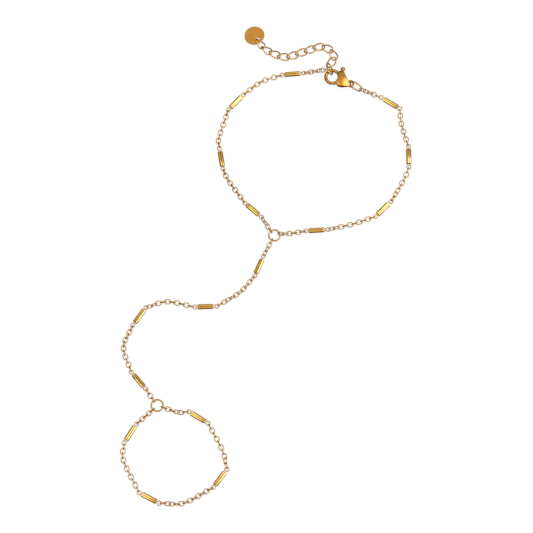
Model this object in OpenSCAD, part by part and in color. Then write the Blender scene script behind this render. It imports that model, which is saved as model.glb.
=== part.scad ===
// Hand chain bracelet: a wrist loop with a lobster clasp, an extender chain and a round tag,
// a chain over the back of the hand and a finger loop, all set with flattened tube bars.
// It lies flat and fastened, the floor is z = 0 and the fingers are towards -y.

/* [Cable chain] */
// Wire thickness of the small cable links
link_wire = 0.28; // [0.24:0.01:0.3]
// Outer length of a cable link
link_length = 2.1; // [2.05:0.05:2.3]
// Outer width of a cable link
link_width = 1.6; // [1.5:0.05:1.8]
// Least air between the metal of two neighbouring pieces
chain_gap = 0.12; // [0.1:0.01:0.14]

/* [Bars] */
// Length of the flattened sleeve
sleeve_length = 4.5; // [3.6:0.1:5]
// Width of the flattened sleeve
sleeve_width = 1.5; // [1.44:0.02:1.6]
// Height of the flattened sleeve
sleeve_height = 0.96; // [0.9:0.02:1.1]
// Air between the wire and the sleeve that slides on it
sleeve_gap = 0.1; // [0.06:0.01:0.14]
// Distance between the two bores of the sleeve, where the legs of the long link run
leg_spacing = 0.68; // [0.64:0.01:0.7]
// Wire thickness of the long link inside each sleeve
bar_wire = 0.28; // [0.24:0.01:0.32]
// Outer length of the long link
bar_length = 8.1; // [7.8:0.1:9]
// Outer width of the eyes at the ends of the long link
eye_width = 1.5; // [1.4:0.05:1.7]
// Thickness of the two straight legs between the eyes
leg_wire = 0.25; // [0.2:0.01:0.27]

/* [Rings] */
// Outer diameter of the round ring where wrist and hand chain meet
junction_ring_d = 3.8; // [3.4:0.1:4.2]
// Outer diameter of the round ring of the finger loop
finger_ring_d = 3.9; // [3.4:0.1:4.2]
// Wire thickness of both round rings
ring_wire = 0.45; // [0.4:0.01:0.5]
// Outer length of the oval link at the clasp
clasp_link_length = 4.3; // [4.1:0.1:4.6]
// Outer width of the oval link at the clasp
clasp_link_width = 2.8; // [2.6:0.1:3]
// Wire thickness of the oval link at the clasp
clasp_link_wire = 0.42; // [0.38:0.01:0.45]
// Outer length of the oval ring that the clasp holds
end_ring_length = 4; // [3.9:0.1:4.2]
// Outer width of the oval ring that the clasp holds
end_ring_width = 2.85; // [2.8:0.05:3]
// Wire thickness of the oval ring that the clasp holds
end_ring_wire = 0.45; // [0.4:0.01:0.5]

/* [Extender] */
// Wire thickness of an extender link
extender_wire = 0.4; // [0.36:0.01:0.42]
// Outer length of an extender link
extender_length = 3.95; // [3.9:0.05:4.05]
// Outer width of an extender link
extender_width = 2.5; // [2.4:0.05:2.7]
// How far the sides of an extender link bend out of its plane
extender_bend = 0.42; // [0.4:0.01:0.44]
// Diameter of the round tag
tag_diameter = 6; // [5.5:0.1:6.5]
// Thickness of the round tag
tag_thickness = 0.5; // [0.4:0.05:0.6]
// Diameter of the hole in the tag
tag_hole = 1.2; // [1.1:0.05:1.3]
// Distance from the middle of the tag to its hole
tag_hole_offset = 1.6; // [1.5:0.05:1.8]

/* [Clasp] */
// Wire thickness of the hook
hook_wire = 0.95; // [0.85:0.01:1]
// Diameter of the opening inside the hook
hook_opening = 3.15; // [3.1:0.05:3.3]
// Thickness of the belly in its middle
belly_thickness = 2.3; // [2.2:0.05:2.5]
// Radius of the domed cheeks
dome_radius = 6; // [5.5:0.1:6.5]
// Thickness of the lever
lever_thickness = 0.65; // [0.55:0.01:0.7]
// Air on each side of the lever in its slot
lever_gap = 0.1; // [0.08:0.01:0.12]
// Diameter of the rivet that the lever turns on
pin_diameter = 0.9; // [0.8:0.05:1]
// Air round the rivet in the bore of the lever
pin_gap = 0.05; // [0.03:0.01:0.06]
// Air round the rivet in its seat in the cheeks
seat_gap = 0.01; // [0.01:0.005:0.02]
// Diameter of the knob on the lever
knob_diameter = 1.36; // [1.2:0.02:1.4]
// Reach of the gate from the rivet to its tip
gate_reach = 3.35; // [3.2:0.05:3.4]
// Outer diameter of the eye at the tail of the clasp
tail_eye_d = 2.2; // [2:0.05:2.3]
// Bore of the eye at the tail of the clasp
tail_bore_d = 1.2; // [1.15:0.05:1.25]
// Thickness of the eye at the tail of the clasp
tail_eye_thickness = 0.7; // [0.6:0.05:0.8]

/* [Hidden] */
$fn = 32;
GOLD = "#d9a441";

// Columns of a stop on the way of a chain; a stop with two numbers only guides the chain
X = 0;
Y = 1;
HEADING = 2;
ROLL = 3;
SLIDE = 4;

// The way of each chain, in order of travel, with round numbers read from the lying bracelet.
// A full row is a bar: its middle, its heading, its roll and where its sleeve slid to.
CHAIN_ROUTE = [
    // right half of the wrist loop, from the clasp to the junction ring
    [
        [31.5, 52.1, 0.82],
        [36.75, 49.3, -33, 5, 0.6],
        [40, 42.5],
        [41.5, 37],
        [42, 32.2, -90, 0, -0.4],
        [40.5, 25],
        [34.25, 15.75, -135, -8, 0.5],
        [25, 11],
        [14.6, 9.1, -176, 0, 0.8],
        [6, 8]
    ],
    // left half of the wrist loop, from the junction ring to the ring in the clasp
    [
        [-4.25, 15.4, 138, 0, 0.9],
        [-11.5, 24.5],
        [-13.8, 31.6, 99, 10, -0.5],
        [-14.5, 38],
        [-9.5, 49.5, 47, 30, 0.3],
        [-2, 56],
        [7.6, 58.6, 5, 0, -0.9]
    ],
    // chain over the hand, from the junction ring to the finger ring
    [
        [-2.5, -2, -113, 12, 0.4],
        [-8, -10],
        [-18.1, -14.5, -178, -5, 0.7],
        [-29.5, -13],
        [-37.5, -17.5, -125, 8, -0.3],
        [-42, -27],
        [-37.5, -37, -50, -12, 0.2]
    ],
    // finger loop, from the finger ring round and back to it
    [
        [-26, -46.5],
        [-20, -48.1, -32, 0, -0.6],
        [-13, -58],
        [-13.65, -66.2, -126, 6, 0.5],
        [-24, -73.5],
        [-34, -72, 152, -6, 0],
        [-41.5, -61],
        [-39.7, -52.9, 58, 0, 0.4]
    ],
    // extender, from the ring in the clasp to the tag, with heights
    [
        [19.25, 62.35, 0.75],
        [20.1, 63.8, 0.97],
        [18.7, 66.4, 0.72],
        [15.8, 67.45, 0.61],
        [10.6, 65.7, 0.61],
        [5, 64.2, 0.61],
        [-0.4, 66.4, 0.85],
        [-2.2, 68.35, 0.98]
    ]
];
RIGHT = 0;
LEFT = 1;
HAND = 2;
FINGER = 3;
EXTENDER = 4;

// Middles of the two round rings
JUNCTION = [2, 7.5];
FINGER_JOINT = [-32, -44.5];
// Where on its ring the right half of the wrist loop hangs
RIGHT_HOLD = 25;

// Lie of the clasp: the middle of the hook's opening, and the heading of its tail
CLASP_AT = [19.5, 57.5];
CLASP_HEADING = -16;

// Everything hangs between upright links, which stand on the floor
chain_z = link_width / 2;
clasp_z = belly_thickness / 2;

// How far from its middle a link of each kind meets the next one
link_reach = link_length / 2 - link_wire - chain_gap / 2;
eye_x = (bar_length - eye_width) / 2;
eye_reach = eye_width / 2 - bar_wire - chain_gap / 2;

function flat(v) = [v[0], v[1], 0];
function unit(v) = v / norm(v);
function aim(angle) = [cos(angle), sin(angle), 0];
function at_height(stop) = [stop[X], stop[Y], len(stop) == 3 ? stop[2] : chain_z];
function is_bar(stop) = len(stop) == 5;
function bars_of(strand) = [for (s = CHAIN_ROUTE[strand]) if (is_bar(s)) s];
function bar_place(bar) = at_height([bar[X], bar[Y]]);

// A point where a chain hangs in an eye of a bar, the eye's link turning about the eye
function bar_end(bar, side, towards) =
    let (eye = bar_place(bar) + side * eye_x * aim(bar[HEADING]))
    eye + eye_reach * unit(towards - eye);

// A point where a chain hangs on a round ring, towards the first stop of that chain
function ring_hook(middle, diameter, towards) =
    let (way = unit(flat(towards) - flat(middle)))
    at_height(middle) + (diameter / 2 - ring_wire - chain_gap / 2) * way;

// A smooth curve through guide points, as short straight steps
CURVE_STEPS = 10;
function curve_point(a, b, c, d, t) =
    (2 * b + (c - a) * t + (2 * a - 5 * b + 4 * c - d) * t * t + (3 * b - 3 * c + d - a) * t * t * t) / 2;
function curve(points) =
    let (last = len(points) - 1)
    [
        for (i = [0 : last - 1])
            let (
                b = points[i],
                c = points[i + 1],
                a = i > 0 ? points[i - 1] : 2 * b - c,
                d = i < last - 1 ? points[i + 2] : 2 * c - b
            )
            for (k = [0 : CURVE_STEPS - 1]) curve_point(a, b, c, d, k / CURVE_STEPS),
        points[last]
    ];
function distances(path, i = 0, sum = 0) =
    i == len(path) - 1 ? [sum] : concat([sum], distances(path, i + 1, sum + norm(path[i + 1] - path[i])));
function along(path, sums, s) =
    let (
        last = len(path) - 1,
        inside = [for (i = [1 : last]) if (sums[i] >= s) i],
        i = len(inside) > 0 ? inside[0] : last,
        step = sums[i] - sums[i - 1]
    )
    path[i - 1] + (path[i] - path[i - 1]) * (s - sums[i - 1]) / step;

// Roll of a link: each stands square to the last one, and what is missing at the far end
// is made up for over the last few steps
TWISTED_STEPS = 4;
function leftover(from, to, steps) =
    let (rest = (to - from - 90 * steps) % 180)
    rest > 90 ? rest - 180 : rest < -90 ? rest + 180 : rest;
function link_roll(from, to, steps, i) =
    let (twisted = min(steps, TWISTED_STEPS))
    from + 90 * i + leftover(from, to, steps) * max(0, i - steps + twisted) / twisted;

// Places of equal links along a stretch of chain: middle, direction and roll of each
function links_between(points, from_roll, to_roll) =
    let (
        path = curve(points),
        sums = distances(path),
        total = sums[len(sums) - 1],
        count = ceil(total / (2 * link_reach)),
        step = total / count
    )
    [
        for (i = [0 : count - 1])
            let (
                s = (i + 0.5) * step,
                back = along(path, sums, s - step / 2),
                front = along(path, sums, s + step / 2)
            )
            [along(path, sums, s), unit(front - back), link_roll(from_roll, to_roll, count + 1, i + 1)]
    ];

// Guide points of one chain cut into stretches from bar to bar
function stretch_links(strand, start, start_roll, finish, finish_roll) =
    let (
        stops = CHAIN_ROUTE[strand],
        last = len(stops) - 1,
        bars = [for (i = [0 : last]) if (is_bar(stops[i])) i]
    )
    [
        for (k = [0 : len(bars)])
            let (
                first = k == 0 ? -1 : bars[k - 1],
                next = k == len(bars) ? last + 1 : bars[k],
                guides = [for (i = [first + 1 : 1 : next - 1]) at_height(stops[i])],
                way = concat(
                    [k == 0 ? start : bar_place(stops[first])],
                    guides,
                    [k == len(bars) ? finish : bar_place(stops[next])]
                ),
                a = k == 0 ? start : bar_end(stops[first], 1, way[1]),
                b = k == len(bars) ? finish : bar_end(stops[next], -1, way[len(way) - 2]),
                a_roll = k == 0 ? start_roll : stops[first][ROLL],
                b_roll = k == len(bars) ? finish_roll : stops[next][ROLL]
            )
            each links_between(concat([a], guides, [b]), a_roll, b_roll)
    ];

// The places above are moved so that the box round the bracelet stands over the origin
MIDDLE = [-0.02, -0.22];
function on_table(place) = [place[X] - MIDDLE[X], place[Y] - MIDDLE[Y], place[2]];

// Puts a piece that is modelled along x onto a place, a direction and a roll
module lay(place, direction, roll) {
    pitch = asin(direction[2]);
    heading = atan2(direction[1], direction[0]);
    translate(on_table(place)) rotate([roll, -pitch, heading]) children();
}

// A bent round wire: an arc in the xy plane
module arc_wire(radius, wire, from, sweep) {
    rotate([0, 0, from]) rotate_extrude(angle = sweep) translate([radius, 0]) circle(d = wire);
}

module straight_wire(length, wire) {
    translate([-length / 2, 0, 0]) rotate([0, 90, 0]) cylinder(h = length, d = wire);
}

// An oval link of round wire, along x and lying in the xy plane
module oval_link(length, width, wire) {
    bend = (width - wire) / 2;
    side = length - width;
    translate([side / 2, 0, 0]) arc_wire(bend, wire, -90, 180);
    translate([-side / 2, 0, 0]) arc_wire(bend, wire, 90, 180);
    for (y = [-bend, bend]) translate([0, y, 0]) straight_wire(side, wire);
}

module cable_chain(links) {
    for (l = links) lay(l[0], l[1], l[2]) oval_link(link_length, link_width, link_wire);
}

// The long link inside a sleeve: two eyes joined by two close legs
eye_bend = (eye_width - bar_wire) / 2;
leg_end = eye_x - sqrt(eye_bend * eye_bend - leg_spacing * leg_spacing / 4);
module long_link() {
    for (side = [-1, 1]) translate([side * eye_x, 0, 0])
        rotate_extrude() translate([eye_bend, 0]) circle(d = bar_wire);
    for (side = [-1, 1]) translate([0, side * leg_spacing / 2, 0]) straight_wire(2 * leg_end, leg_wire);
}

// Two rolls that run into each other give the sleeve its long groove
roll_middle = (sleeve_width - sleeve_height) / 2;

// Room that a sleeve has to slide each way before it meets an eye
sleeve_play = eye_x - eye_width / 2 - sleeve_length / 2 - chain_gap;

module bar_link(strand, index) {
    bar = bars_of(strand)[index - 1];
    color(GOLD) lay(bar_place(bar), aim(bar[HEADING]), bar[ROLL]) long_link();
}

module bar_sleeve(strand, index) {
    bar = bars_of(strand)[index - 1];
    bore = bar_wire + 2 * sleeve_gap;
    color(GOLD) lay(bar_place(bar), aim(bar[HEADING]), bar[ROLL])
        translate([bar[SLIDE] * sleeve_play - sleeve_length / 2, 0, 0]) rotate([90, 0, 90])
            linear_extrude(height = sleeve_length) difference() {
                for (y = [-1, 1]) translate([y * roll_middle, 0]) circle(d = sleeve_height);
                for (y = [-1, 1]) translate([y * leg_spacing / 2, 0]) circle(d = bore);
            }
}

module round_ring(middle, diameter) {
    color(GOLD) translate(on_table(at_height(middle)))
        rotate_extrude() translate([(diameter - ring_wire) / 2, 0]) circle(d = ring_wire);
}

module junction_ring() { round_ring(JUNCTION, junction_ring_d); }
module finger_ring() { round_ring(FINGER_JOINT, finger_ring_d); }

// Places in the clasp's own plane: x towards its tail, y towards its knob, 0 in the opening
hook_radius = (hook_opening + hook_wire) / 2;
PIVOT = [2.75, 0.35];
BELLY = [2.75, 0];
TAIL = [5.75, -0.6];
// The belly is a rounded triangle: middle and radius of its corners at the knob, the tail and the gate
BELLY_CORNERS = [[2.25, 1.45, 1.1], [4.75, -1.15, 0.65], [2.9, -0.75, 1.6]];
KNOB = [2.3, 3.3];
GATE_ROOT = 320;
HOOK_ROOT = 42;
HOOK_END = 278;
slot = lever_thickness + 2 * lever_gap;

module in_clasp() {
    color(GOLD) translate(on_table([CLASP_AT[X], CLASP_AT[Y], clasp_z])) rotate([0, 0, CLASP_HEADING]) children();
}

module slab(thickness) {
    translate([0, 0, -thickness / 2]) linear_extrude(height = thickness) children();
}

module belly_outline() {
    difference() {
        hull() for (c = BELLY_CORNERS) translate([c[0], c[1]]) circle(r = c[2], $fn = 64);
        circle(d = hook_opening, $fn = 64);
    }
}

// Room for the lever between the cheeks: it leaves the root of the hook and the tail solid
module slot_outline() {
    difference() {
        translate([-3, -4]) square([6.95, 8]);
        translate([-3, 1.3]) square([4.87, 4]);
    }
}

// One domed side of the belly
module dome(side) {
    translate([BELLY[X], BELLY[Y], side * (belly_thickness / 2 - dome_radius)])
        rotate([90, 0, 0]) sphere(r = dome_radius, $fn = 96);
}

module cheeks() {
    difference() {
        intersection() {
            slab(belly_thickness) belly_outline();
            dome(1);
            dome(-1);
        }
        slab(slot) slot_outline();
    }
}

// The hook ends in a face that the tip of the gate passes with a little air
module hook() {
    difference() {
        arc_wire(hook_radius, hook_wire, HOOK_ROOT, HOOK_END - HOOK_ROOT, $fn = 48);
        intersection() {
            translate(PIVOT) slab(2 * hook_wire) circle(r = gate_reach + lever_gap, $fn = 64);
            translate([0, -hook_radius]) slab(2 * hook_wire) square(2 * hook_radius, center = true);
        }
    }
}

module clasp_body() {
    in_clasp() difference() {
        union() {
            cheeks();
            hook();
            translate(TAIL) slab(tail_eye_thickness) circle(d = tail_eye_d);
        }
        translate(PIVOT) slab(2 * belly_thickness) circle(d = pin_diameter + 2 * seat_gap);
        translate(TAIL) slab(2 * belly_thickness) circle(d = tail_bore_d);
    }
}

module clasp_pin() {
    in_clasp() translate(PIVOT) slab(belly_thickness - pin_gap) circle(d = pin_diameter);
}

// A straight web of the lever between two places
module web(from, to, width) {
    way = to - from;
    translate(from) rotate(atan2(way[1], way[0])) translate([0, -width / 2]) square([norm(way), width]);
}

module lever_outline() {
    gate_way = hook_radius * [cos(GATE_ROOT), sin(GATE_ROOT)];
    gate_width = hook_wire - lever_gap;
    translate(PIVOT) circle(r = pin_diameter, $fn = 48);
    web(PIVOT, gate_way, gate_width);
    web(PIVOT, KNOB, gate_width);
    intersection() {
        difference() {
            circle(r = hook_radius + gate_width / 2, $fn = 64);
            circle(r = hook_radius - gate_width / 2, $fn = 64);
        }
        translate(PIVOT) circle(r = gate_reach, $fn = 64);
        polygon([[0, 0], [0, -6], [4, -6], 4 * [cos(GATE_ROOT), sin(GATE_ROOT)]]);
    }
    translate(gate_way) circle(d = gate_width);
}

module clasp_lever() {
    in_clasp() difference() {
        union() {
            slab(lever_thickness) lever_outline();
            translate(KNOB) sphere(d = knob_diameter);
        }
        translate(PIVOT) slab(2 * belly_thickness) circle(d = pin_diameter + 2 * pin_gap);
    }
}

// The oval link at the tail of the clasp, and the oval ring that the hook holds
CLASP_LINK_AT = [26.45, 54.45, 1.3];
CLASP_LINK_HEADING = -33;
CLASP_LINK_ROLL = 62;
END_RING_AT = [18.6, 60.1, 1.22];
END_RING_HEADING = 103;
END_RING_ROLL = 52;
// Where the left chain hangs along its raised side, from -1 near the hook to 1
END_RING_HOLD = -0.6;

module clasp_link() {
    color(GOLD) lay(CLASP_LINK_AT, aim(CLASP_LINK_HEADING), CLASP_LINK_ROLL)
        oval_link(clasp_link_length, clasp_link_width, clasp_link_wire);
}

module end_ring() {
    color(GOLD) lay(END_RING_AT, aim(END_RING_HEADING), END_RING_ROLL)
        oval_link(end_ring_length, end_ring_width, end_ring_wire);
}

// Where the right chain leaves the oval link, and where the left chain holds the oval ring's raised side
clasp_link_end = CLASP_LINK_AT
    + (clasp_link_length / 2 - clasp_link_wire - chain_gap / 2) * aim(CLASP_LINK_HEADING);
end_ring_corner = END_RING_AT
    + END_RING_HOLD * (end_ring_length - end_ring_width) / 2 * aim(END_RING_HEADING)
    + (end_ring_width - end_ring_wire) / 2
    * (cos(END_RING_ROLL) * aim(END_RING_HEADING + 90) + sin(END_RING_ROLL) * [0, 0, 1]);
last_bar = bars_of(LEFT)[3];
end_ring_hook = end_ring_corner
    + (end_ring_wire + chain_gap) / 2 * unit(end_ring_corner - bar_end(last_bar, 1, end_ring_corner));

module wrist_chain_right() {
    start = clasp_link_end;
    finish = ring_hook(JUNCTION, junction_ring_d, JUNCTION + [cos(RIGHT_HOLD), sin(RIGHT_HOLD)]);
    color(GOLD) cable_chain(stretch_links(RIGHT, start, CLASP_LINK_ROLL, finish, 0));
}

module wrist_chain_left() {
    start = ring_hook(JUNCTION, junction_ring_d, CHAIN_ROUTE[LEFT][0]);
    color(GOLD) cable_chain(stretch_links(LEFT, start, 0, end_ring_hook, 0));
}

module hand_chain() {
    start = ring_hook(JUNCTION, junction_ring_d, CHAIN_ROUTE[HAND][0]);
    finish = ring_hook(FINGER_JOINT, finger_ring_d, CHAIN_ROUTE[HAND][6]);
    color(GOLD) cable_chain(stretch_links(HAND, start, 0, finish, 0));
}

module finger_chain() {
    start = ring_hook(FINGER_JOINT, finger_ring_d, CHAIN_ROUTE[FINGER][0]);
    finish = ring_hook(FINGER_JOINT, finger_ring_d, CHAIN_ROUTE[FINGER][7]);
    color(GOLD) cable_chain(stretch_links(FINGER, start, 0, finish, 0));
}

// A curb link: an oval of wire whose four sides bend up and down in turn.
// Its steps stand closer together at the two ends, where it bends most.
CURB_STEPS = 16;
CURB_SIDES = 6;
END_CROWDING = 12;
CURB_ANGLES = [for (i = [0 : CURB_STEPS - 1])
    let (t = i * 360 / CURB_STEPS) t - END_CROWDING * sin(2 * t)];
module curb_link() {
    a = (extender_length - extender_wire) / 2;
    b = (extender_width - extender_wire) / 2;
    points = [for (t = CURB_ANGLES)
        let (
            place = [a * cos(t), b * sin(t), extender_bend * sin(2 * t)],
            way = unit([-a * sin(t), b * cos(t), 2 * extender_bend * cos(2 * t)]),
            side = unit(cross(way, [0, 0, 1])),
            rise = cross(side, way)
        )
        for (k = [0 : CURB_SIDES - 1])
            let (turn = k * 360 / CURB_SIDES)
            place + extender_wire / 2 * (cos(turn) * side + sin(turn) * rise)];
    faces = [for (i = [0 : CURB_STEPS - 1], k = [0 : CURB_SIDES - 1])
        let (
            here = i * CURB_SIDES,
            there = (i + 1) % CURB_STEPS * CURB_SIDES,
            m = (k + 1) % CURB_SIDES
        )
        for (face = [[here + k, here + m, there + m], [here + k, there + m, there + k]]) face];
    polyhedron(points = points, faces = faces, convexity = 4);
}

EXTENDER_PITCH = 2.9;
FIRST_ROLLS = [9, 13, -5];
LAST_ROLLS = [7, 22, 27];
extender_path = curve([for (stop = CHAIN_ROUTE[EXTENDER]) at_height(stop)]);
extender_sums = distances(extender_path);
extender_total = extender_sums[len(extender_sums) - 1];
extender_links = round(extender_total / EXTENDER_PITCH) + 1;
extender_step = extender_total / (extender_links - 1);

function extender_roll(i) =
    i < len(FIRST_ROLLS) ? FIRST_ROLLS[i]
    : i >= extender_links - len(LAST_ROLLS) ? LAST_ROLLS[i - extender_links + len(LAST_ROLLS)]
    : 0;
function extender_point(s) = along(extender_path, extender_sums, max(0, min(s, extender_total)));
function extender_way(s) = unit(extender_point(s + extender_step / 2) - extender_point(s - extender_step / 2));

module extender_chain() {
    color(GOLD) for (i = [0 : extender_links - 1])
        lay(extender_point(i * extender_step), extender_way(i * extender_step), extender_roll(i)) curb_link();
}

// The tag lies on the floor with its far edge and rests on the wire of the last link
TAG_AT = [-3.95, 71.1];
TAG_TOWARDS_CHAIN = -51;
TAG_TILT = 8;
tag_z = tag_diameter / 2 * sin(TAG_TILT) + tag_thickness / 2 * cos(TAG_TILT);

module tag() {
    color(GOLD) translate(on_table([TAG_AT[X], TAG_AT[Y], tag_z])) rotate([0, -TAG_TILT, TAG_TOWARDS_CHAIN])
        slab(tag_thickness) difference() {
            circle(d = tag_diameter, $fn = 64);
            translate([tag_hole_offset, 0]) circle(d = tag_hole);
        }
}

BAR_STRANDS = [["wrist_right", RIGHT, 4], ["wrist_left", LEFT, 4], ["hand", HAND, 4], ["finger", FINGER, 4]];

clasp_body();
clasp_lever();
clasp_pin();
clasp_link();
end_ring();
extender_chain();
tag();
wrist_chain_right();
wrist_chain_left();
junction_ring();
hand_chain();
finger_ring();
finger_chain();
for (s = BAR_STRANDS, i = [1 : s[2]]) {
    bar_link(s[1], i);
    bar_sleeve(s[1], i);
}
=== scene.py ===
"""Looks of the hand chain bracelet: wire links, grooved sleeves, a cast clasp and a polished tag."""

import math

import bpy
import numpy as np
from mathutils import Matrix, Vector

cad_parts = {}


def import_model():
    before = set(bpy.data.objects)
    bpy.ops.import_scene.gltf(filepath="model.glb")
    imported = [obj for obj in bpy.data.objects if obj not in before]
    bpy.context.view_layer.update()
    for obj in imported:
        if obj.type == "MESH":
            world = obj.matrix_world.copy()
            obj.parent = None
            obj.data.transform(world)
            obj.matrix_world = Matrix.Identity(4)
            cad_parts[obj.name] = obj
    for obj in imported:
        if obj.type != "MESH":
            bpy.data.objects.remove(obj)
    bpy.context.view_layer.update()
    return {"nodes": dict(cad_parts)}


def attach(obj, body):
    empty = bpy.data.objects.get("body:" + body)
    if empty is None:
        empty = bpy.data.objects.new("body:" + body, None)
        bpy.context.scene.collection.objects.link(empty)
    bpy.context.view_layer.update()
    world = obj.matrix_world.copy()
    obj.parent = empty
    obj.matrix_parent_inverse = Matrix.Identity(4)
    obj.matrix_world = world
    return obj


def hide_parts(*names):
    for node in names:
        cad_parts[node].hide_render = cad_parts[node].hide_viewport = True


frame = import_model()

MM = 0.001
MICRONS = 1000
ROOT = "bracelet"
LEVER = "clasp_lever"

# Sizes in millimetres, as in the CAD model. An oval link has a length, a width and a wire.
CABLE = (2.1, 1.6, 0.28)
CLASP_LINK = (4.3, 2.8, 0.42)
END_RING = (4.0, 2.85, 0.45)
# The curb link's last value is how far its wire rises and sinks beside its flat
EXTENDER = (3.95, 2.5, 0.4, 0.42)
RINGS = {"junction_ring": 3.8, "finger_ring": 3.9}
RING_WIRE = 0.45
BAR_LENGTH, EYE_WIDTH, BAR_WIRE, LEG_WIRE = 8.1, 1.5, 0.28, 0.25
SLEEVE_LENGTH, SLEEVE_WIDTH, SLEEVE_HEIGHT = 4.5, 1.5, 0.96
LEG_SPACING, SLEEVE_BORE = 0.68, 0.48
TAG_DIAMETER, TAG_THICKNESS, TAG_HOLE, TAG_HOLE_OFFSET = 6.0, 0.5, 1.2, 1.6
PIN_DIAMETER, PIN_LENGTH = 0.9, 2.25

# Nodes by kind
CHAINS = ("wrist_chain_right", "wrist_chain_left", "hand_chain", "finger_chain")
STRANDS = ("wrist_right", "wrist_left", "hand", "finger")
BARS_PER_STRAND = 4

# How finely the wires are drawn: sides of the wire, and steps along it
CABLE_SIDES = 12
LINK_SIDES = 20
BEND_STEPS = 14
RING_STEPS, RING_SIDES = 72, 20
CURB_STEPS, CURB_SIDES = 56, 14
EYE_STEPS, BAR_SIDES = 40, 14
RIVET_SIDES = 32

# Stops along a straight side of a link, as shares of it, and round a ring, in radians.
# Both crowd at the seam.
SIDE_STOPS = (0, 0.3, 0.45, 0.5, 0.55, 0.7)
RING_SEAM_STOPS = (0.01, 0.02, -0.01, -0.02)
# Curb links have more points at their ends
CURB_CROWDING = 0.2

# A seam swells over one width and has a fine line of another, both as shares of the wire
SWELL_WIDTH, LINE_WIDTH = 0.55, 0.12

# Round lips of the plates, in millimetres, and the angle above which an edge stays sharp
SLEEVE_LIP, TAG_LIP = 0.035, 0.09
SHARP_ANGLE = math.radians(40)
ROLL_STEPS, BORE_STEPS = 41, 28
TAG_STEPS, TAG_HOLE_STEPS = 96, 40
RIVET_DOME, RIVET_DOME_STEPS, RIVET_TIP = 0.07, 7, 0.001

# The way that the long axes of the links are made to point
FORWARD = (1, 0.3, 0.1)


# Places of the CAD solids

def solids(node):
    """Centre and axes (length, width, normal) of each loose solid of a CAD node, in millimetres."""
    mesh = frame["nodes"][node].data
    mesh.calc_loop_triangles()
    co = np.array([v.co for v in mesh.vertices]) / MM
    tris = np.array([t.vertices for t in mesh.loop_triangles])
    # Vertices in the same place are one point
    _, same = np.unique(np.round(co * MICRONS).astype(np.int64), axis=0, return_inverse=True)
    tris = same.reshape(-1)[tris]
    points = np.zeros((same.max() + 1, 3))
    points[same.reshape(-1)] = co
    # Points that triangles join take the least number among them
    label = np.arange(len(points))
    while True:
        least = label[tris].min(axis=1)
        new = label.copy()
        np.minimum.at(new, tris.reshape(-1), np.repeat(least, 3))
        new = new[new]
        if (new == label).all():
            break
        label = new
    out = []
    owner = label[tris[:, 0]]
    for one in np.unique(owner):
        v = points[tris[owner == one]]
        area = np.linalg.norm(np.cross(v[:, 1] - v[:, 0], v[:, 2] - v[:, 0]), axis=1) / 2
        total = v.sum(axis=1)
        centre = (area[:, None] * total).sum(axis=0) / (3 * area.sum())
        # The surface's second moments about its centre give the axes
        v = v - centre
        total = v.sum(axis=1)
        second = np.einsum("t,tij,tik->jk", area, v, v)
        second = second + np.einsum("t,tj,tk->jk", area, total, total)
        axes = np.linalg.eigh(second)[1][:, ::-1]
        for k in (0, 1):
            if axes[:, k] @ FORWARD < 0:
                axes[:, k] *= -1
        axes[:, 2] = np.cross(axes[:, 0], axes[:, 1])
        out.append((centre, axes))
    return sorted(out, key=lambda s: (round(s[0][1], 2), round(s[0][0], 2)))


def stand(centre, axes):
    """The matrix that puts a piece modelled about the origin where a solid lies."""
    return Matrix.Translation(Vector(centre) * MM) @ Matrix(axes.tolist()).to_4x4()


def tag_place():
    """The tag's middle and axes: x points from its middle to its hole, z is its upper normal."""
    mesh = frame["nodes"]["tag"].data
    co = np.array([v.co for v in mesh.vertices]) / MM
    (_, axes), = solids("tag")
    normal = axes[:, 2] * (1 if axes[2, 2] > 0 else -1)
    lo, hi = co.min(axis=0), co.max(axis=0)
    middle = (lo + hi) / 2
    # The hole's edge lies nearer the middle than the rim does
    reach = np.linalg.norm(co - middle, axis=1)
    beyond_hole = 0.35
    hole = co[reach < TAG_HOLE_OFFSET + TAG_HOLE / 2 + beyond_hole].mean(axis=0)
    way = hole - middle
    way -= way @ normal * normal
    way /= np.linalg.norm(way)
    return middle, np.column_stack([way, np.cross(normal, way), normal])


# Mesh building

def sweep(path, radii, sides):
    """Vertices and quads of a closed round wire along a closed path."""
    path = np.asarray(path, float)
    n = len(path)
    way = np.roll(path, -1, axis=0) - np.roll(path, 1, axis=0)
    way /= np.linalg.norm(way, axis=1)[:, None]
    up = np.array((0, 0, 1.0))
    side = np.cross(way, up)
    side /= np.linalg.norm(side, axis=1)[:, None]
    rise = np.cross(side, way)
    turn = np.arange(sides) * 2 * math.pi / sides
    radii = np.broadcast_to(radii, (n,))
    ring = np.cos(turn)[None, :, None] * side[:, None] + np.sin(turn)[None, :, None] * rise[:, None]
    verts = (path[:, None] + radii[:, None, None] * ring).reshape(-1, 3)
    i, k = np.meshgrid(np.arange(n), np.arange(sides), indexing="ij")
    a, b = i * sides + k, i * sides + (k + 1) % sides
    c, d = (i + 1) % n * sides + (k + 1) % sides, (i + 1) % n * sides + k
    return verts, np.stack([a, b, c, d], axis=-1).reshape(-1, 4)


def lathe(profile, sides):
    """Vertices and quads of a profile of (along, radius) turned about the x axis."""
    profile = np.asarray(profile, float)
    n = len(profile)
    turn = np.arange(sides) * 2 * math.pi / sides
    verts = np.empty((n, sides, 3))
    verts[..., 0] = profile[:, :1]
    verts[..., 1] = profile[:, 1:] * np.cos(turn)
    verts[..., 2] = profile[:, 1:] * np.sin(turn)
    i, k = np.meshgrid(np.arange(n - 1), np.arange(sides), indexing="ij")
    a, b = i * sides + k, i * sides + (k + 1) % sides
    faces = np.stack([a, a + sides, b + sides, b], axis=-1).reshape(-1, 4)
    return verts.reshape(-1, 3), faces


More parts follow.
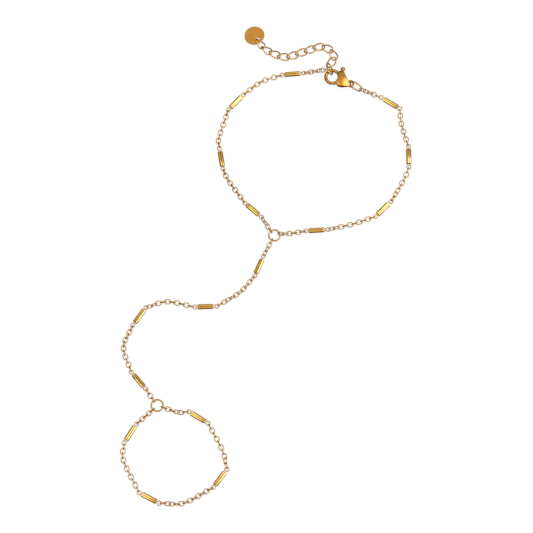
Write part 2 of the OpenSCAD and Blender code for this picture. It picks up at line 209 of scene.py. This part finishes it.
def joined(parts):
    """One set of vertices and quads from several."""
    verts, faces, start = [], [], 0
    for v, f in parts:
        verts.append(v)
        faces.append(f + start)
        start += len(v)
    return np.vstack(verts), np.vstack(faces)


def placed(shape, places):
    """Copies of a shape, one at each centre and axes."""
    verts, faces = shape
    return joined([(verts @ axes.T + centre, faces) for centre, axes in places])


def shade_smooth(mesh):
    """Makes every face of a mesh smooth."""
    mesh.polygons.foreach_set("use_smooth", [True] * len(mesh.polygons))


def mesh_of(name, shape):
    """A smooth mesh in metres from vertices in millimetres and quads."""
    verts, faces = shape
    mesh = bpy.data.meshes.new(name)
    mesh.from_pydata((verts * MM).tolist(), [], faces.tolist())
    mesh.validate()
    shade_smooth(mesh)
    mesh.update()
    return mesh


def shown(name, data):
    """A new object in the scene."""
    piece = bpy.data.objects.new(name, data)
    bpy.context.scene.collection.objects.link(piece)
    return piece


def evaluated(holder):
    """The mesh of an object with its curve or modifiers worked out. The object is deleted."""
    bpy.context.view_layer.update()
    graph = bpy.context.evaluated_depsgraph_get()
    mesh = bpy.data.meshes.new_from_object(holder.evaluated_get(graph))
    bpy.data.objects.remove(holder)
    return mesh


def add(name, mesh, material, node, body=ROOT, matrix=None):
    """A piece that stands for a CAD node."""
    piece = shown(name, mesh)
    if matrix is not None:
        piece.matrix_world = matrix
    if not mesh.materials:
        mesh.materials.append(material)
    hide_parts(node)
    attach(piece, body)
    return piece


# Shapes, modelled with their length along x about the origin

def seam(path, at, wire, swell=0.05, groove=0.06):
    """Wire radii with a soldered seam at a point of the path: a slight swelling with a fine line."""
    away = np.linalg.norm(np.asarray(path) - at, axis=1)
    swelling = swell * np.exp(-((away / (SWELL_WIDTH * wire)) ** 2))
    line = groove * np.exp(-((away / (LINE_WIDTH * wire)) ** 2))
    return wire / 2 * (1 + (swelling - line))


def oval_path(length, width, wire):
    """The middle of an oval link's wire: two half circles joined by two straight sides."""
    bend, half = (width - wire) / 2, (length - width) / 2
    path = []
    for side in (0, 1):
        for t in np.linspace(-90, 90, BEND_STEPS + 1)[:-1] + 180 * side:
            x = half if side == 0 else -half
            path.append((x + bend * math.cos(math.radians(t)), bend * math.sin(math.radians(t)), 0))
        for t in SIDE_STOPS:
            x = half - 2 * half * t
            path.append((x, bend, 0) if side == 0 else (-x, -bend, 0))
    return np.array(path)


def oval_link(length, width, wire, sides):
    """An oval link with a seam in the middle of one side."""
    path = oval_path(length, width, wire)
    bend = (width - wire) / 2
    return sweep(path, seam(path, (0, bend, 0), wire), sides)


def round_ring(diameter, wire):
    """A round ring that is cut rather than soldered, so its seam has a line and no swelling."""
    bend = (diameter - wire) / 2
    turn = np.linspace(0, 2 * math.pi, RING_STEPS, endpoint=False)
    turn = np.sort(np.concatenate([turn, RING_SEAM_STOPS]))
    path = np.stack([bend * np.cos(turn), bend * np.sin(turn), 0 * turn], axis=1)
    return sweep(path, seam(path, (bend, 0, 0), wire, swell=0, groove=0.12), RING_SIDES)


def curb_link(length, width, wire, rise):
    """A link whose wire rises and sinks twice on its way round, so that the next one passes."""
    t = np.linspace(0, 2 * math.pi, CURB_STEPS, endpoint=False)
    t = t - CURB_CROWDING * np.sin(2 * t)
    reach, spread = (length - wire) / 2, (width - wire) / 2
    path = np.stack([reach * np.cos(t), spread * np.sin(t), rise * np.sin(2 * t)], axis=1)
    middle_of_side = path[CURB_STEPS // 4]
    return sweep(path, seam(path, middle_of_side, wire, swell=0.04, groove=0.05), CURB_SIDES)


def long_link():
    """Two round eyes joined by two straight legs that run into them."""
    bend = (EYE_WIDTH - BAR_WIRE) / 2
    eye_x = (BAR_LENGTH - EYE_WIDTH) / 2
    leg_end = eye_x - math.sqrt(bend * bend - LEG_SPACING**2 / 4)
    parts = []
    turn = np.linspace(0, 2 * math.pi, EYE_STEPS, endpoint=False)
    for side in (-1, 1):
        x = side * eye_x + bend * np.cos(turn)
        path = np.stack([x, bend * np.sin(turn), 0 * turn], axis=1)
        parts.append(sweep(path, BAR_WIRE / 2, BAR_SIDES))
    profile = [(x, LEG_WIRE / 2) for x in (-leg_end, -leg_end / 2, 0, leg_end / 2, leg_end)]
    for side in (-1, 1):
        verts, faces = lathe(profile, BAR_SIDES)
        parts.append((verts + (0, side * LEG_SPACING / 2, 0), faces))
    return joined(parts)


def plate(name, loops, thickness, lip):
    """A plate with round lips, from closed outlines: the first is its rim, the others are holes."""
    curve = bpy.data.curves.new(name, "CURVE")
    curve.dimensions = "2D"
    curve.fill_mode = "BOTH"
    for loop in loops:
        spline = curve.splines.new("POLY")
        spline.points.add(len(loop) - 1)
        zeros, ones = np.zeros((len(loop), 1)), np.ones(len(loop))
        spline.points.foreach_set("co", np.column_stack([loop, zeros, ones]).ravel())
        spline.use_cyclic_u = True
    curve.extrude = thickness / 2 - lip
    curve.bevel_depth = lip
    curve.bevel_resolution = 3
    curve.offset = -lip
    mesh = evaluated(shown(name, curve))
    mesh.name = name
    return mesh


def polished(mesh):
    """Brings a plate to metres and shades it smooth between its sharp edges."""
    mesh.transform(Matrix.Scale(MM, 4))
    shade_smooth(mesh)
    mesh.set_sharp_from_angle(angle=SHARP_ANGLE)
    return mesh


def circle(x, y, radius, steps):
    """The outline of a circle."""
    turn = np.linspace(0, 2 * math.pi, steps, endpoint=False)
    return np.stack([x + radius * np.cos(turn), y + radius * np.sin(turn)], axis=1)


def sleeve_mesh():
    """The flattened tube: two rolls that run into each other, with a soft groove between them."""
    outer, half = SLEEVE_HEIGHT / 2, (SLEEVE_WIDTH - SLEEVE_HEIGHT) / 2
    meet = math.degrees(math.acos(half / outer))
    rim = []
    for side in (1, -1):
        for t in np.linspace(meet - 180, 180 - meet, ROLL_STEPS)[1:-1]:
            a = math.radians(t)
            rim.append((side * (half + outer * math.cos(a)), side * outer * math.sin(a)))
    holes = [circle(side * LEG_SPACING / 2, 0, SLEEVE_BORE / 2, BORE_STEPS) for side in (-1, 1)]
    mesh = plate("sleeve", [np.array(rim)] + holes, SLEEVE_LENGTH, SLEEVE_LIP)
    # The plate's thickness becomes the length along x
    mesh.transform(Matrix(((0, 0, 1, 0), (1, 0, 0, 0), (0, 1, 0, 0), (0, 0, 0, 1))))
    return polished(mesh)


def tag_mesh():
    """The round tag with its hole."""
    rim = circle(0, 0, TAG_DIAMETER / 2, TAG_STEPS)
    hole = circle(TAG_HOLE_OFFSET, 0, TAG_HOLE / 2, TAG_HOLE_STEPS)
    return polished(plate("tag", [rim, hole], TAG_THICKNESS, TAG_LIP))


def softened(name, node, voxel, passes):
    """A cast piece: the CAD solid with its edges rounded over."""
    mesh = frame["nodes"][node].data.copy()
    mesh.transform(Matrix.Scale(1 / MM, 4))
    mesh.materials.clear()
    holder = shown(name, mesh)
    remesh = holder.modifiers.new("remesh", "REMESH")
    remesh.mode = "VOXEL"
    remesh.voxel_size = voxel
    remesh.use_smooth_shade = True
    relax = holder.modifiers.new("relax", "SMOOTH")
    relax.factor = 0.5
    relax.iterations = passes
    out = evaluated(holder)
    out.name = name
    out.transform(Matrix.Scale(MM, 4))
    shade_smooth(out)
    return out


def rivet():
    """The clasp's pin, with a slightly domed head at each end."""
    half, r = PIN_LENGTH / 2, PIN_DIAMETER / 2
    profile = [(-half, RIVET_TIP)]
    for t in np.linspace(0, 90, RIVET_DOME_STEPS)[1:]:
        a = math.radians(t)
        profile.append((-half + RIVET_DOME * (1 - math.cos(a)), r * math.sin(a)))
    profile += [(-x, y) for x, y in reversed(profile)]
    return lathe(profile, RIVET_SIDES)


# Materials: noise scales are for metres

# The colour of painted shade, laid on a sleeve's bores, groove and cut ends
PAINTED_SHADE = (0.06, 0.026, 0.008)
EDGE_TINT = (1.0, 0.90, 0.60)
TONE_SCALE, POLISH_SCALE, SCRATCH_SCALE, PIT_SCALE = 320, 900, 2600, 5200
NOISE_LOW, NOISE_HIGH = 0.3, 0.7
ROUGH_LEAST, ROUGH_MOST = 0.75, 1.35
BUMP_DEPTH = 0.00002

# Scratches go all ways, or run along the piece
ALL_WAYS = (1, 1, 1)
ALONG_SLEEVE = (0.15, 1, 1)
ALONG_TAG = (0.25, 1, 1)


def smooth_step(nodes, links, value, start, end, most=1.0):
    """0 where a value is at start and most where it is at end, with a soft change between them."""
    step = nodes.new("ShaderNodeMapRange")
    step.interpolation_type = "SMOOTHSTEP"
    step.inputs["From Min"].default_value = start
    step.inputs["From Max"].default_value = end
    step.inputs["To Max"].default_value = most
    links.new(value, step.inputs["Value"])
    return step.outputs["Result"]


def sleeve_painted_shade(nodes, links, place):
    """Painted shade on a sleeve: darker in its bores, along its groove and on its cut ends, where
    shade falls.
    """
    def maths(operation, *values):
        node = nodes.new("ShaderNodeMath")
        node.operation = operation
        for socket, value in zip(node.inputs, values):
            if isinstance(value, float):
                socket.default_value = value
            else:
                links.new(value, socket)
        return node.outputs["Value"]

    bore_rim = 0.03
    groove_edge, groove_core, groove_tone = 0.12, 0.02, 0.8
    cut_start, cut_full = 0.04, 0.01
    split = nodes.new("ShaderNodeSeparateXYZ")
    links.new(place, split.inputs["Vector"])
    along, across = (maths("ABSOLUTE", split.outputs[axis]) for axis in ("X", "Y"))
    height = split.outputs["Z"]
    offset = maths("SUBTRACT", across, LEG_SPACING / 2 * MM)
    squares = maths("ADD", maths("MULTIPLY", offset, offset), maths("MULTIPLY", height, height))
    radius = maths("SQRT", squares)
    bore_radius, half = SLEEVE_BORE / 2, SLEEVE_LENGTH / 2
    # Painted shade: masks for the bores, the groove and the cut ends
    bore = smooth_step(nodes, links, radius, (bore_radius + bore_rim) * MM, bore_radius * MM)
    groove = smooth_step(nodes, links, across, groove_edge * MM, groove_core * MM, groove_tone)
    cut = smooth_step(nodes, links, along, (half - cut_start) * MM, (half - cut_full) * MM)
    return maths("MAXIMUM", bore, maths("MAXIMUM", groove, cut))


def gold(name, colour, dark, rough, grain, scratch, stretch, painted_shade_mask=None):
    """Gold plating with a slow drift of tone, faint smears in the polish and hairline scratches, and
    painted shade where a mask is given.
    """
    mat = bpy.data.materials.new(name)
    mat.use_nodes = True
    nodes, links = mat.node_tree.nodes, mat.node_tree.links
    shader = nodes["Principled BSDF"]
    shader.inputs["Metallic"].default_value = 1.0
    shader.inputs["Specular Tint"].default_value = (*EDGE_TINT, 1)
    place = nodes.new("ShaderNodeTexCoord").outputs["Object"]

    def noise(where, scale, detail):
        node = nodes.new("ShaderNodeTexNoise")
        node.inputs["Scale"].default_value = scale
        node.inputs["Detail"].default_value = detail
        links.new(where, node.inputs["Vector"])
        return node.outputs["Fac"]

    def spread(value, low, high):
        node = nodes.new("ShaderNodeMapRange")
        node.inputs["From Min"].default_value = NOISE_LOW
        node.inputs["From Max"].default_value = NOISE_HIGH
        node.inputs["To Min"].default_value = low
        node.inputs["To Max"].default_value = high
        links.new(value, node.inputs["Value"])
        return node.outputs["Result"]

    tone = nodes.new("ShaderNodeMix")
    tone.data_type = "RGBA"
    tone.inputs["A"].default_value = (*colour, 1)
    tone.inputs["B"].default_value = (*dark, 1)
    links.new(spread(noise(place, TONE_SCALE, 3), 0, 1), tone.inputs["Factor"])
    colour_out = tone.outputs["Result"]
    # Painted shade: the tone is darkened towards a dark colour where the mask marks shade
    if painted_shade_mask is not None:
        shaded_tone = nodes.new("ShaderNodeMix")
        shaded_tone.data_type = "RGBA"
        links.new(painted_shade_mask(nodes, links, place), shaded_tone.inputs["Factor"])
        links.new(colour_out, shaded_tone.inputs["A"])
        shaded_tone.inputs["B"].default_value = (*PAINTED_SHADE, 1)
        colour_out = shaded_tone.outputs["Result"]
    links.new(colour_out, shader.inputs["Base Color"])
    polish = spread(noise(place, POLISH_SCALE, 4), rough * ROUGH_LEAST, rough * ROUGH_MOST)
    links.new(polish, shader.inputs["Roughness"])
    drawn = nodes.new("ShaderNodeMapping")
    drawn.inputs["Scale"].default_value = stretch
    links.new(place, drawn.inputs["Vector"])
    relief = nodes.new("ShaderNodeMath")
    relief.operation = "MULTIPLY_ADD"
    relief.inputs[1].default_value = scratch
    links.new(noise(drawn.outputs["Vector"], SCRATCH_SCALE, 4), relief.inputs[0])
    links.new(noise(place, PIT_SCALE, 2), relief.inputs[2])
    bump = nodes.new("ShaderNodeBump")
    bump.inputs["Strength"].default_value = grain
    bump.inputs["Distance"].default_value = BUMP_DEPTH
    links.new(relief.outputs["Value"], bump.inputs["Height"])
    links.new(bump.outputs["Normal"], shader.inputs["Normal"])
    return mat


WIRE = gold(
    "gold_wire", colour=(0.73, 0.465, 0.08), dark=(0.65, 0.39, 0.06),
    rough=0.40, grain=0.25, scratch=1.0, stretch=ALL_WAYS,
)
# The sleeves carry painted shade in their bores, along their groove and on their cut ends
SLEEVE = gold(
    "gold_sleeve", colour=(0.85, 0.60, 0.20), dark=(0.79, 0.53, 0.155),
    rough=0.12, grain=0.2, scratch=2.0, stretch=ALONG_SLEEVE, painted_shade_mask=sleeve_painted_shade,
)
CAST = gold(
    "gold_clasp", colour=(0.64, 0.36, 0.08), dark=(0.54, 0.29, 0.06),
    rough=0.30, grain=0.3, scratch=1.0, stretch=ALL_WAYS,
)
SHEET = gold(
    "gold_tag", colour=(0.89, 0.52, 0.15), dark=(0.79, 0.43, 0.11),
    rough=0.26, grain=0.4, scratch=2.0, stretch=ALONG_TAG,
)


# The pieces

def wires(node, shape):
    """All links of a chain node, or its one ring, as one piece of wire."""
    add(f"{node}_wire", mesh_of(node, placed(shape, solids(node))), WIRE, node)


for chain in CHAINS:
    wires(chain, oval_link(*CABLE, CABLE_SIDES))
wires("extender_chain", curb_link(*EXTENDER))
wires("clasp_link", oval_link(*CLASP_LINK, LINK_SIDES))
wires("end_ring", oval_link(*END_RING, LINK_SIDES))
for ring, diameter in RINGS.items():
    wires(ring, round_ring(diameter, RING_WIRE))

link_mesh = mesh_of("bar_link", long_link())
tube_mesh = sleeve_mesh()
for strand in STRANDS:
    for number in range(1, BARS_PER_STRAND + 1):
        for kind, mesh, material, slot in (
            ("link", link_mesh, WIRE, "gold_wire"), ("sleeve", tube_mesh, SLEEVE, "gold_sleeve")
        ):
            node = f"{strand}_bar_{kind}_{number}"
            (centre, axes), = solids(node)
            add(f"{node}_gold", mesh, material, node, matrix=stand(centre, axes))

body_mesh = softened("clasp_body_cast", "clasp_body", voxel=0.05, passes=14)
add("clasp_body_cast", body_mesh, CAST, "clasp_body")
lever_mesh = softened("clasp_lever_cast", "clasp_lever", voxel=0.04, passes=3)
add("clasp_lever_cast", lever_mesh, CAST, "clasp_lever", LEVER)
pin_mesh = mesh_of("clasp_pin_rivet", placed(rivet(), solids("clasp_pin")))
add("clasp_pin_rivet", pin_mesh, CAST, "clasp_pin")
add("tag_plate", tag_mesh(), SHEET, "tag", matrix=stand(*tag_place()))


# Floor, light and camera, in metres

FLOOR_HALF = 2.5
FLOOR_DROP = 0.00002
FLOOR_BASE = 0.06
FLOOR_GLOW = 0.875
FLOOR_ROUGHNESS = 0.9
# The white table looks dim in the polished metal, as in the photograph
FLOOR_IN_METAL = (0.10, 0.06, 0.027)
HORIZON, HORIZON_AT = (0.14, 0.09, 0.042), 0.5
ZENITH, ZENITH_AT = (0.87, 0.70, 0.45), 0.94
AIM = (0, 0, 0)
LOOK_AT = Vector((-0.306, -1.925, 0.775)) * MM
ELEVATION = math.radians(72)
DISTANCE = 0.9
LENS, SENSOR = 206.7, 36
CLIP_NEAR, CLIP_FAR = 0.01, 20


def floor():
    """A plain floor that is just white and takes faint shadows."""
    mesh = bpy.data.meshes.new("floor")
    h = FLOOR_HALF
    mesh.from_pydata([(-h, -h, 0), (h, -h, 0), (h, h, 0), (-h, h, 0)], [], [(0, 1, 2, 3)])
    piece = shown("floor", mesh)
    piece.location.z = -FLOOR_DROP
    mat = bpy.data.materials.new("floor_white")
    mat.use_nodes = True
    nodes, links = mat.node_tree.nodes, mat.node_tree.links
    white = nodes["Principled BSDF"]
    white.inputs["Base Color"].default_value = (FLOOR_BASE, FLOOR_BASE, FLOOR_BASE, 1)
    white.inputs["Emission Color"].default_value = (1, 1, 1, 1)
    white.inputs["Emission Strength"].default_value = FLOOR_GLOW
    white.inputs["Roughness"].default_value = FLOOR_ROUGHNESS
    white.inputs["Specular IOR Level"].default_value = 0.0
    dim = nodes.new("ShaderNodeBsdfDiffuse")
    dim.inputs["Color"].default_value = (*FLOOR_IN_METAL, 1)
    ray = nodes.new("ShaderNodeLightPath")
    mix = nodes.new("ShaderNodeMixShader")
    links.new(ray.outputs["Is Glossy Ray"], mix.inputs["Fac"])
    links.new(white.outputs["BSDF"], mix.inputs[1])
    links.new(dim.outputs["BSDF"], mix.inputs[2])
    links.new(mix.outputs["Shader"], nodes["Material Output"].inputs["Surface"])
    mesh.materials.append(mat)


def softbox(name, place, size, radiance, colour=(1, 1, 1), in_metal=True):
    """A rectangular area light; its power follows from how bright its face is."""
    light = bpy.data.lights.new(name, "AREA")
    light.shape = "RECTANGLE"
    light.size, light.size_y = size
    light.energy = radiance * math.pi * size[0] * size[1]
    light.color = colour
    piece = shown(name, light)
    piece.location = place
    piece.rotation_euler = (Vector(AIM) - Vector(place)).to_track_quat("-Z", "Y").to_euler()
    piece.visible_glossy = in_metal


def world():
    """A studio that is bright overhead and dim at the horizon."""
    sky = bpy.data.worlds.new("studio")
    bpy.context.scene.world = sky
    sky.use_nodes = True
    nodes, links = sky.node_tree.nodes, sky.node_tree.links
    place = nodes.new("ShaderNodeTexCoord")
    split = nodes.new("ShaderNodeSeparateXYZ")
    ramp = nodes.new("ShaderNodeValToRGB")
    low, high = ramp.color_ramp.elements
    low.position, low.color = HORIZON_AT, (*HORIZON, 1)
    high.position, high.color = ZENITH_AT, (*ZENITH, 1)
    links.new(place.outputs["Generated"], split.inputs["Vector"])
    links.new(split.outputs["Z"], ramp.inputs["Fac"])
    links.new(ramp.outputs["Color"], nodes["Background"].inputs["Color"])
    nodes["Background"].inputs["Strength"].default_value = 1.0


def camera():
    """A long lens that looks down on the table, as in the photograph."""
    eye = bpy.data.cameras.new("camera")
    eye.lens = LENS
    eye.sensor_width = SENSOR
    eye.clip_start = CLIP_NEAR
    eye.clip_end = CLIP_FAR
    piece = shown("camera", eye)
    away = Vector((0, -math.cos(ELEVATION), math.sin(ELEVATION)))
    piece.location = LOOK_AT + DISTANCE * away
    piece.rotation_euler = (math.radians(90) - ELEVATION, 0, 0)
    bpy.context.scene.camera = piece


floor()
world()
softbox("table_light", (0, 0, 1.2), size=(1.8, 1.8), radiance=3.2, in_metal=False)
softbox("key", (0.65, -0.04, 0.76), size=(0.8, 0.91), radiance=3.4, colour=(1, 0.98, 1.12))
softbox("fill", (-0.46, -0.265, 0.85), size=(0.45, 0.36), radiance=3.2)
softbox("rim", (0.1, 0.75, 0.55), size=(0.5, 0.15), radiance=1.1, colour=(0.95, 1, 0.9))
camera()
bpy.context.scene.view_settings.view_transform = "Standard"
